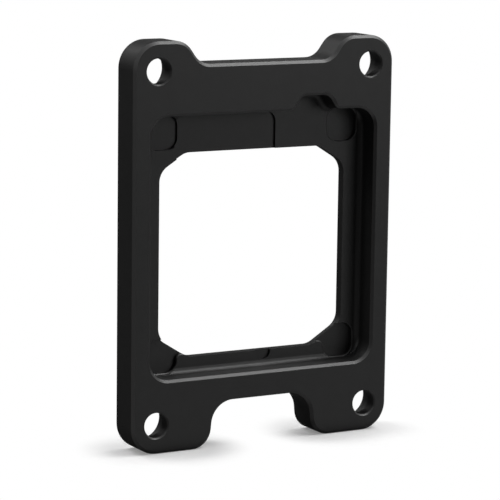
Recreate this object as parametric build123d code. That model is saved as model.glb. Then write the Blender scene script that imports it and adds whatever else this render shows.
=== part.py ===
"""Retention frame for a desktop processor socket, machined from one aluminium bar.

The frame stands on its two lower lobes. X runs across it, Z runs up its long side, and the
pocket that drops over the socket opens towards -Y. The origin is the middle of the feet.
"""
import os

from build123d import *

# Plate
width = 51.0
height = 71.0
thickness = 6.4
corner_radius = 4.8
front_chamfer = 0.5
back_chamfer = 0.3

# Upper notch, between the upper lobes
upper_lobe_width = 9.8
upper_notch_depth = 4.07
upper_shoulder_run = 2.95
upper_shoulder_radius = 3.8
upper_notch_radius = 3.4

# Lower notch, between the feet
foot_width = 15.2
lower_notch_depth = 8.15
lower_shoulder_run = 0.75
foot_radius = 3.6
lower_notch_radius = 4.2

# Socket pocket, and the metal left around and behind it
side_wall = 3.5
upper_bar = 8.68
lower_bar = 4.6
floor_thickness = 1.9
pocket_corner_radius = 3.5
pocket_rim_chamfer = 0.45
pocket_floor_fillet = 1.0

# Rounded bay above the pocket, clear of the tab on the socket's edge; its sides lean in
bay_centre_x = 9.95
bay_width = 8.8
bay_rise = 2.55
bay_side_run = 1.7
bay_corner_radius = 2.0
bay_mouth_radius = 1.5

# Window over the processor's lid, with a ledge of pocket floor left around it
side_ledge = 3.65
upper_ledge = 6.9
lower_ledge = 2.75
window_corner_radius = 3.2
window_edge_chamfer = 0.2
upper_cut_width = 5.1
upper_cut_height = 3.15
lower_cut_width = 5.9
lower_cut_height = 3.7

# Reliefs milled into the pocket floor
corner_relief_side = 6.0
corner_relief_side_gap = 1.2
corner_relief_end_gap = 0.25
corner_relief_radius = 2.0
corner_relief_depth = 0.8
corner_relief_bevel = 0.15
relief_mouth_radius = 1.0
relief_mouth_straight = 0.15
top_relief_bay_gap = 1.25
top_relief_radius = 2.0
top_relief_depth = 0.4
top_relief_overlap = 0.6
edge_dimple_radius = 1.5
edge_dimple_x = 2.45
edge_dimple_drop = 0.2
edge_dimple_depth = 0.5

# Screw holes, placed from the plate's edges
hole_edge_x = 4.65
hole_edge_z = 5.05
hole_radius = 2.2
hole_chamfer = 0.25
hole_length = 2.2
counterbore_radius = 3.6
counterbore_chamfer = 0.3

# Places that follow from the sizes above
pocket_side = width / 2 - side_wall
pocket_top = height - upper_notch_depth - upper_bar
pocket_bottom = lower_notch_depth + lower_bar
pocket_depth = thickness - floor_thickness
window_side = pocket_side - side_ledge
window_top = pocket_top - upper_ledge
window_bottom = pocket_bottom + lower_ledge
bay_left = bay_centre_x - bay_width / 2

front = Plane(origin=(0, -thickness / 2, 0), x_dir=(1, 0, 0), z_dir=(0, -1, 0))
floor = front.offset(-pocket_depth)


def rounded_outline(corners):
    """A closed outline from (x, z, radius) corners, each rounded by its own radius."""
    outline = make_face(Polyline(*[(x, z) for x, z, radius in corners], close=True))
    for x, z, radius in corners:
        nearest = outline.vertices().sort_by_distance((x, z, 0))[0]
        outline = fillet(nearest, radius)
    return outline


def mirrored(half):
    """The right half of an outline, then its mirror image, walked back to the start."""
    return half + [(-x, z, radius) for x, z, radius in reversed(half)]


def plate():
    upper_notch_mouth = width / 2 - upper_lobe_width
    lower_notch_mouth = width / 2 - foot_width
    outline = rounded_outline(mirrored([
        (upper_notch_mouth - upper_shoulder_run, height - upper_notch_depth, upper_notch_radius),
        (upper_notch_mouth, height, upper_shoulder_radius),
        (width / 2, height, corner_radius),
        (width / 2, 0, corner_radius),
        (lower_notch_mouth, 0, foot_radius),
        (lower_notch_mouth - lower_shoulder_run, lower_notch_depth, lower_notch_radius),
    ]))
    body = extrude(front * outline, -thickness)
    body = chamfer(body.faces().sort_by(Axis.Y)[0].edges(), front_chamfer)
    return chamfer(body.faces().sort_by(Axis.Y)[-1].edges(), back_chamfer)


def pocket_outline():
    """The socket's rectangle with the bay let into its upper edge."""
    bay_right = bay_centre_x + bay_width / 2
    bay_top = pocket_top + bay_rise
    return rounded_outline([
        (-pocket_side, pocket_bottom, pocket_corner_radius),
        (pocket_side, pocket_bottom, pocket_corner_radius),
        (pocket_side, pocket_top, pocket_corner_radius),
        (bay_right, pocket_top, bay_mouth_radius),
        (bay_right - bay_side_run, bay_top, bay_corner_radius),
        (bay_left + bay_side_run, bay_top, bay_corner_radius),
        (bay_left, pocket_top, bay_mouth_radius),
        (-pocket_side, pocket_top, pocket_corner_radius),
    ])


def pocket_cutter():
    cutter = extrude(front * pocket_outline(), -pocket_depth)
    floor_edges = cutter.faces().sort_by(Axis.Y)[-1].edges()
    return fillet(floor_edges, pocket_floor_fillet)


def window_cutter():
    outline = rounded_outline(mirrored([
        (window_side - upper_cut_width, window_top, window_corner_radius),
        (window_side, window_top - upper_cut_height, window_corner_radius),
        (window_side, window_bottom + lower_cut_height, window_corner_radius),
        (window_side - lower_cut_width, window_bottom, window_corner_radius),
    ]))
    return extrude(front * outline, -thickness)


def relief_cutter(outline):
    """A shallow relief below the pocket floor, with its upper edge broken by a bevel."""
    bevel_foot = floor.offset(-corner_relief_bevel)
    mouth = extrude(bevel_foot * offset(outline, corner_relief_bevel), pocket_floor_fillet)
    mouth = chamfer(mouth.faces().sort_by(Axis.Y)[-1].edges(), corner_relief_bevel)
    return mouth + extrude(floor * outline, -corner_relief_depth)


def corner_reliefs():
    """Relief in each corner of the floor; the lower two run out into the window."""
    outer_x = pocket_side - corner_relief_side_gap
    inner_x = outer_x - corner_relief_side
    upper_outer_z = pocket_top - corner_relief_end_gap
    upper_inner_z = upper_outer_z - corner_relief_side
    lower_outer_z = pocket_bottom + corner_relief_end_gap
    lower_inner_z = lower_outer_z + corner_relief_side
    mouth_x = inner_x - relief_mouth_straight - 2 * relief_mouth_radius
    mouth_z = lower_outer_z + corner_relief_radius + relief_mouth_straight + relief_mouth_radius
    upper = rounded_outline([
        (inner_x, upper_inner_z, corner_relief_radius),
        (outer_x, upper_inner_z, corner_relief_radius),
        (outer_x, upper_outer_z, corner_relief_radius),
        (inner_x, upper_outer_z, corner_relief_radius),
    ])
    lower = rounded_outline([
        (inner_x, lower_outer_z, corner_relief_radius),
        (outer_x, lower_outer_z, corner_relief_radius),
        (outer_x, lower_inner_z, corner_relief_radius),
        (mouth_x, lower_inner_z, relief_mouth_radius),
        (mouth_x, mouth_z, relief_mouth_radius),
        (inner_x, mouth_z, relief_mouth_radius),
    ])
    outlines = [upper, lower, mirror(upper, about=Plane.YZ), mirror(lower, about=Plane.YZ)]
    return [relief_cutter(outline) for outline in outlines]


def top_relief():
    """A wide shallow step above the window, run into the upper left corner relief.

    The floor's fillet is milled away above it and on to the bay.
    """
    corner_relief_end = corner_relief_side_gap + corner_relief_side - pocket_side
    left = corner_relief_end - top_relief_overlap
    right = bay_left - top_relief_bay_gap
    top = pocket_top - corner_relief_end_gap
    bottom = window_top - top_relief_radius
    step, clearance = [
        rounded_outline([
            (left, bottom, top_relief_radius),
            (end, bottom, top_relief_radius),
            (end, top, top_relief_radius),
            (left, top, top_relief_radius),
        ])
        for end in (right, bay_centre_x)
    ]
    return extrude(floor * step, -top_relief_depth) + extrude(floor * clearance, pocket_floor_fillet)


def edge_dimple():
    """A half-moon let into the floor at the window's lower edge."""
    disc = Pos(edge_dimple_x, window_bottom - edge_dimple_drop) * Circle(edge_dimple_radius)
    return extrude(floor * disc, -edge_dimple_depth)


def screw_holes():
    """Stepped holes: a short bore from the pocket side, and a deep counterbore for the head."""
    counterbore_mouth = counterbore_radius + counterbore_chamfer
    profile = make_face(Polyline(
        (0, 0),
        (hole_radius + hole_chamfer, 0),
        (hole_radius, -hole_chamfer),
        (hole_radius, -hole_length),
        (counterbore_radius, -hole_length),
        (counterbore_radius, counterbore_chamfer - thickness),
        (counterbore_mouth, -thickness),
        (0, -thickness),
        close=True,
    ))
    cutter = revolve(Plane.XZ * profile, Axis.Z)
    spacing_x = width - 2 * hole_edge_x
    spacing_z = height - 2 * hole_edge_z
    spots = GridLocations(spacing_x, spacing_z, 2, 2)
    return [front * Pos(0, height / 2) * spot * cutter for spot in spots]


def retention_frame():
    body = plate() - pocket_cutter()
    front_face = body.faces().sort_by(Axis.Y)[0]
    body = chamfer(front_face.inner_wires()[0].edges(), pocket_rim_chamfer)
    body -= window_cutter()
    back_face = body.faces().sort_by(Axis.Y)[-1]
    body = chamfer(back_face.inner_wires()[0].edges(), window_edge_chamfer)
    for cutter in corner_reliefs() + [top_relief(), edge_dimple()] + screw_holes():
        body -= cutter
    return body


os.makedirs("parts", exist_ok=True)
frame = retention_frame()
frame.label = "retention_frame"
export_step(frame, "parts/retention_frame.step")
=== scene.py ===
"""Looks of the socket retention frame: black anodised aluminium on a white table, in studio light.

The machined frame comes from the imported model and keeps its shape. This script gives it its
finish, and sets the table, the lamps and the camera around it. Lengths are in metres.
"""
import math

import bpy
from mathutils import Matrix, Vector


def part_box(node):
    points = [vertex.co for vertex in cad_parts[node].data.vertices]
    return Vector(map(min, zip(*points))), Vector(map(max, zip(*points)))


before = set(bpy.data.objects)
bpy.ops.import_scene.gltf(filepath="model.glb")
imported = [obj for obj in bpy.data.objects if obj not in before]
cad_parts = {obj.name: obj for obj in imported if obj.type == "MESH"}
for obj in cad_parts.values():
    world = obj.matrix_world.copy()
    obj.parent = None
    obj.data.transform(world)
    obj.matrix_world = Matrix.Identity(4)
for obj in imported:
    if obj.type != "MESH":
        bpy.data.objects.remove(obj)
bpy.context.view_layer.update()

# Camera, fitted to the frame's edges in the photograph. It looks at the front face, a little to
# the left of its middle and below it. The lens and the sensor are in millimetres.
CAMERA_TURN = math.radians(29.1)
CAMERA_FALL = math.radians(9.37)
CAMERA_ROLL = math.radians(0.79)
CAMERA_DISTANCE = 0.4365
CAMERA_LENS = 181.5
CAMERA_SENSOR = 36.0
CAMERA_CLIP_START = 0.01
AIM_LEFT_OF_MIDDLE = 0.00295
AIM_BELOW_MIDDLE = 0.00108

# Softboxes, all facing the frame's middle. Angles are in degrees, and the azimuth runs from the
# frame's right side (+X), anticlockwise as seen from above.
SOFTBOXES = (
    # name, azimuth, elevation, distance, width, power
    ("key_softbox", -12, 55, 0.55, 0.32, 1.46),
    ("key_back_softbox", 40, 55, 0.55, 0.30, 0.66),
    ("key_front_softbox", -45, 55, 0.55, 0.30, 0.70),
    ("left_back_softbox", 135, 55, 0.55, 0.32, 1.32),
    ("left_high_fill", 165, 32, 0.55, 0.32, 0.38),
    ("left_fill", -170, 20, 0.90, 0.45, 0.62),
    ("front_right_low", -61, 12, 0.90, 0.45, 1.10),
    ("front_right_side", -40, 10, 0.90, 0.45, 0.22),
    ("back_fill", 100, 18, 0.90, 0.45, 0.20),
)

# Light card that lies on the table in front of the frame and faces up
CARD_PLACE = (0.028, -0.065, 0.0005)
CARD_WIDTH = 0.12
CARD_POWER = 0.0105

# White surroundings: their strength to the camera, as light on the frame, and in its gloss
SEEN_WHITE = 1.0
AMBIENT = 0.02
WORLD_IN_GLOSS = 0.04
TABLE_IN_GLOSS = 0.01

# Table. The light that it bounces on to the frame is dim. The camera sees shadows on it close to
# the feet, and an even white from SHADOW_FADE_END away from their middles, as in the photograph.
TABLE_RADIUS = 0.6
TABLE_SIDES = 128
TABLE_ROUGHNESS = 0.9
TABLE_BOUNCE = 0.04
RIGHT_FOOT = (0.0179, 0.0, 0.0)
EVEN_SHARE_AT_FOOT = 0.2
SHADOW_FADE_START = 0.008
SHADOW_FADE_END = 0.016

# Finish: blasting pits and cloudy anodising. The pits' height is already in metres, so the
# bump's distance is 1.
PIT_SCALE = 6500.0
PIT_DETAIL = 3.0
PIT_DEPTH = 4e-6
BUMP_DISTANCE = 1.0
CLOUD_SCALE = 420.0
CLOUD_DETAIL = 4.0
NOISE_LOW = 0.3
NOISE_HIGH = 0.7
FILM_DARK = 0.0108
FILM_LIGHT = 0.0132
ROUGH_LOW = 0.39
ROUGH_HIGH = 0.45

# Finish: painted highlight on the milled bevels, a paler grey in their colour so that they read
# lighter than the lamps make them. Bevels are found by the Y part of a normal at 45 degrees. The
# pocket's round inner corner has such normals too, and is told apart by its place in Y.
BEVEL_PAINTED_HIGHLIGHT_GREY = 0.078
BEVEL_FACING = math.sqrt(0.5)
BEVEL_TOLERANCE = 0.08
ROUND_MIDDLE = 0.0008
ROUND_HALF_DEPTH = 0.0005
UPRIGHT_TILT = 0.1
SLOPING_TILT = 0.5
OUTER_EDGE_X = 0.0238
INNER_UPRIGHT_SHARE = 0.3

lowest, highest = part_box("retention_frame")
middle = (lowest + highest) / 2


def add_camera():
    turn = (
        Matrix.Rotation(-CAMERA_TURN, 4, "Z")
        @ Matrix.Rotation(math.pi / 2 - CAMERA_FALL, 4, "X")
        @ Matrix.Rotation(CAMERA_ROLL, 4, "Z")
    )
    aim = Vector((middle.x - AIM_LEFT_OF_MIDDLE, lowest.y, middle.z - AIM_BELOW_MIDDLE))
    back_off = turn.to_3x3() @ Vector((0, 0, CAMERA_DISTANCE))
    data = bpy.data.cameras.new("camera")
    data.lens = CAMERA_LENS
    data.sensor_width = CAMERA_SENSOR
    data.clip_start = CAMERA_CLIP_START
    camera = bpy.data.objects.new("camera", data)
    bpy.context.scene.collection.objects.link(camera)
    camera.matrix_world = Matrix.Translation(aim + back_off) @ turn
    bpy.context.scene.camera = camera


def add_lamp(name, place, width, power):
    """A square lamp that the camera doesn't see, facing down until it is turned."""
    data = bpy.data.lights.new(name, "AREA")
    data.shape = "SQUARE"
    data.size = width
    data.energy = power
    lamp = bpy.data.objects.new(name, data)
    lamp.location = place
    lamp.visible_camera = False
    bpy.context.scene.collection.objects.link(lamp)
    return lamp


def add_softbox(name, azimuth, elevation, distance, width, power):
    """A lamp placed by its direction and distance from the frame's middle, which it faces."""
    azimuth, elevation = math.radians(azimuth), math.radians(elevation)
    towards = Vector((
        math.cos(elevation) * math.cos(azimuth),
        math.cos(elevation) * math.sin(azimuth),
        math.sin(elevation),
    ))
    place = middle + distance * towards
    lamp = add_lamp(name, place, width, power)
    lamp.rotation_mode = "QUATERNION"
    lamp.rotation_quaternion = (middle - place).to_track_quat("-Z", "Y")


def add_card():
    card = add_lamp("near_card", CARD_PLACE, CARD_WIDTH, CARD_POWER)
    card.rotation_euler = (math.pi, 0, 0)


def grey(level):
    """A neutral colour without transparency."""
    return (level, level, level, 1.0)


def feed(tree, socket, value):
    """Gives a node's input a number, a colour or another node's output."""
    if isinstance(value, bpy.types.NodeSocket):
        tree.links.new(value, socket)
    else:
        socket.default_value = value


def math_node(tree, operation, *values):
    """One arithmetic step on numbers or on other nodes' outputs."""
    node = tree.nodes.new("ShaderNodeMath")
    node.operation = operation
    for socket, value in zip(node.inputs, values):
        feed(tree, socket, value)
    return node.outputs["Value"]


def mix_node(tree, kind, factor, first, second):
    """Between two numbers (FLOAT) or two colours (RGBA), by another node's output."""
    node = tree.nodes.new("ShaderNodeMix")
    node.data_type = kind
    tree.links.new(factor, node.inputs["Factor"])
    feed(tree, node.inputs["A"], first)
    feed(tree, node.inputs["B"], second)
    return node.outputs["Result"]


def map_range(tree, value, low, high, to_low=0.0, to_high=1.0, smooth=False):
    """A value carried from one range to another and held inside it."""
    node = tree.nodes.new("ShaderNodeMapRange")
    if smooth:
        node.interpolation_type = "SMOOTHSTEP"
    ends = {"From Min": low, "From Max": high, "To Min": to_low, "To Max": to_high}
    for name, number in ends.items():
        node.inputs[name].default_value = number
    tree.links.new(value, node.inputs["Value"])
    return node.outputs["Result"]


def parts_of(tree, vector):
    """The X, Y and Z of a vector, by name."""
    node = tree.nodes.new("ShaderNodeSeparateXYZ")
    tree.links.new(vector, node.inputs["Vector"])
    return node.outputs


def seen_directly(tree, path):
    """1 for the camera's rays and for rays through glass, 0 for the others."""
    camera_ray, glass_ray = path.outputs["Is Camera Ray"], path.outputs["Is Transmission Ray"]
    return math_node(tree, "MAXIMUM", camera_ray, glass_ray)


def add_world():
    """White to the camera, a small share of that in gloss, and dim even light on the frame."""
    world = bpy.data.worlds.new("studio")
    bpy.context.scene.world = world
    world.use_nodes = True
    tree = world.node_tree
    nodes, links = tree.nodes, tree.links
    nodes.clear()
    path = nodes.new("ShaderNodeLightPath")
    background = nodes.new("ShaderNodeBackground")
    background.inputs["Color"].default_value = grey(1.0)
    output = nodes.new("ShaderNodeOutputWorld")
    unseen = mix_node(tree, "FLOAT", path.outputs["Is Glossy Ray"], AMBIENT, WORLD_IN_GLOSS)
    strength = mix_node(tree, "FLOAT", seen_directly(tree, path), unseen, SEEN_WHITE)
    links.new(strength, background.inputs["Strength"])
    links.new(background.outputs["Background"], output.inputs["Surface"])


def new_group(name, inputs, outputs):
    """An empty shader node group, with the inner ends of its inputs and of its outputs.

    Inputs are given as (name, type, value or None). Outputs are numbers, given by name.
    """
    group = bpy.data.node_groups.new(name, "ShaderNodeTree")
    for label, kind, value in inputs:
        socket = group.interface.new_socket(name=label, in_out="INPUT", socket_type=kind)
        if value is not None:
            socket.default_value = value
    for label in outputs:
        group.interface.new_socket(name=label, in_out="OUTPUT", socket_type="NodeSocketFloat")
    given = group.nodes.new("NodeGroupInput").outputs
    result = group.nodes.new("NodeGroupOutput").inputs
    return group, given, result


def bead_blast_group():
    """Fine pits left by blasting, and the soft cloudiness of the anodising over them."""
    group, given, result = new_group(
        "bead_blast",
        [
            ("Position", "NodeSocketVector", None),
            ("Pit Scale", "NodeSocketFloat", PIT_SCALE),
            ("Cloud Scale", "NodeSocketFloat", CLOUD_SCALE),
        ],
        ["Pits", "Clouds", "Height"],
    )
    layers = []
    for scale, detail in (("Pit Scale", PIT_DETAIL), ("Cloud Scale", CLOUD_DETAIL)):
        noise = group.nodes.new("ShaderNodeTexNoise")
        noise.inputs["Detail"].default_value = detail
        group.links.new(given["Position"], noise.inputs["Vector"])
        group.links.new(given[scale], noise.inputs["Scale"])
        layers.append(map_range(group, noise.outputs["Fac"], NOISE_LOW, NOISE_HIGH))
    pits, clouds = layers
    group.links.new(pits, result["Pits"])
    group.links.new(clouds, result["Clouds"])
    group.links.new(math_node(group, "MULTIPLY", pits, PIT_DEPTH), result["Height"])
    return group


def painted_bevel_highlight_group():
    """How much painted highlight each spot of the 45 degree bevels gets, from 0 to 1.

    The painted highlight is full on the outer long bevels and wherever bevels aren't upright. The
    other upright ones get a little of it, and the pocket's round inner corner gets none.
    """
    group, given, result = new_group(
        "painted_bevel_highlight",
        [("Position", "NodeSocketVector", None), ("Normal", "NodeSocketVector", None)],
        ["Bevel"],
    )
    facing = parts_of(group, given["Normal"])
    place = parts_of(group, given["Position"])

    turned = math_node(group, "ABSOLUTE", facing["Y"])
    slanted = math_node(group, "COMPARE", turned, BEVEL_FACING, BEVEL_TOLERANCE)
    in_round = math_node(group, "COMPARE", place["Y"], ROUND_MIDDLE, ROUND_HALF_DEPTH)
    bevel = math_node(group, "MULTIPLY", slanted, math_node(group, "SUBTRACT", 1.0, in_round))

    tilt = math_node(group, "ABSOLUTE", facing["Z"])
    sloping = map_range(group, tilt, UPRIGHT_TILT, SLOPING_TILT, smooth=True)
    from_middle = math_node(group, "ABSOLUTE", place["X"])
    outer = math_node(group, "GREATER_THAN", from_middle, OUTER_EDGE_X)
    upright = math_node(group, "MAXIMUM", outer, INNER_UPRIGHT_SHARE)
    highlight_share = math_node(group, "MAXIMUM", sloping, upright)
    group.links.new(math_node(group, "MULTIPLY", bevel, highlight_share), result["Bevel"])
    return group


def use_group(tree, group, **inputs):
    """A group placed in a material, with its inputs linked by name. Gives the group's outputs."""
    node = tree.nodes.new("ShaderNodeGroup")
    node.node_tree = group
    for name, source in inputs.items():
        tree.links.new(source, node.inputs[name])
    return node.outputs


def anodised_black():
    """Black anodised aluminium over bead blasting, with a painted highlight: a paler grey on the
    milled bevels.
    """
    material = bpy.data.materials.new("anodised_black_finish")
    material.use_nodes = True
    tree = material.node_tree
    nodes, links = tree.nodes, tree.links
    shader = nodes["Principled BSDF"]
    place = nodes.new("ShaderNodeTexCoord").outputs["Object"]
    facing = nodes.new("ShaderNodeVectorTransform")
    facing.vector_type = "NORMAL"
    facing.convert_from = "WORLD"
    facing.convert_to = "OBJECT"
    true_normal = nodes.new("ShaderNodeNewGeometry").outputs["True Normal"]
    links.new(true_normal, facing.inputs["Vector"])
    blast = use_group(tree, bead_blast_group(), Position=place)
    edges = use_group(tree, painted_bevel_highlight_group(), Position=place, Normal=facing.outputs["Vector"])

    film = mix_node(tree, "RGBA", blast["Clouds"], grey(FILM_DARK), grey(FILM_LIGHT))
    # Painted highlight: the bevels are coloured a paler grey than the anodised film
    film_and_painted_highlight = mix_node(tree, "RGBA", edges["Bevel"], film, grey(BEVEL_PAINTED_HIGHLIGHT_GREY))
    links.new(film_and_painted_highlight, shader.inputs["Base Color"])

    satin = map_range(tree, blast["Pits"], 0.0, 1.0, ROUGH_LOW, ROUGH_HIGH)
    links.new(satin, shader.inputs["Roughness"])

    bump = nodes.new("ShaderNodeBump")
    bump.inputs["Distance"].default_value = BUMP_DISTANCE
    links.new(blast["Height"], bump.inputs["Height"])
    links.new(bump.outputs["Normal"], shader.inputs["Normal"])
    return material


def table_white():
    """White to the camera, evenly so away from the feet, and dim to the frame."""
    material = bpy.data.materials.new("table_white")
    material.use_nodes = True
    tree = material.node_tree
    nodes, links = tree.nodes, tree.links
    shader = nodes["Principled BSDF"]
    output = nodes["Material Output"]
    shader.inputs["Roughness"].default_value = TABLE_ROUGHNESS
    shader.inputs["Specular IOR Level"].default_value = 0.0
    shader.inputs["Emission Color"].default_value = grey(1.0)
    path = nodes.new("ShaderNodeLightPath")
    seen = seen_directly(tree, path)

    colour = mix_node(tree, "RGBA", seen, grey(TABLE_BOUNCE), grey(SEEN_WHITE))
    links.new(colour, shader.inputs["Base Color"])
    in_gloss = mix_node(tree, "FLOAT", path.outputs["Is Glossy Ray"], 0.0, TABLE_IN_GLOSS)
    links.new(in_gloss, shader.inputs["Emission Strength"])

    # The feet mirror each other, so the left one is folded on to the right one
    place = nodes.new("ShaderNodeTexCoord")
    folded = nodes.new("ShaderNodeVectorMath")
    folded.operation = "ABSOLUTE"
    links.new(place.outputs["Object"], folded.inputs[0])
    from_foot = nodes.new("ShaderNodeVectorMath")
    from_foot.operation = "DISTANCE"
    from_foot.inputs[1].default_value = RIGHT_FOOT
    links.new(folded.outputs["Vector"], from_foot.inputs[0])
    even_share = map_range(
        tree, from_foot.outputs["Value"],
        SHADOW_FADE_START, SHADOW_FADE_END, EVEN_SHARE_AT_FOOT, 1.0, smooth=True,
    )
    even_white = nodes.new("ShaderNodeEmission")
    mix = nodes.new("ShaderNodeMixShader")
    links.new(mix_node(tree, "FLOAT", seen, 0.0, even_share), mix.inputs["Fac"])
    links.new(shader.outputs["BSDF"], mix.inputs[1])
    links.new(even_white.outputs["Emission"], mix.inputs[2])
    links.new(mix.outputs["Shader"], output.inputs["Surface"])
    return material


def add_table():
    bpy.ops.mesh.primitive_circle_add(
        vertices=TABLE_SIDES, radius=TABLE_RADIUS, fill_type="NGON",
    )
    table = bpy.context.object
    table.name = "table"
    table.data.materials.append(table_white())


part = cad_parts["retention_frame"]
part.material_slots[0].material = anodised_black()
add_table()
add_world()
for softbox in SOFTBOXES:
    add_softbox(*softbox)
add_card()
add_camera()
bpy.context.scene.view_settings.view_transform = "Standard"
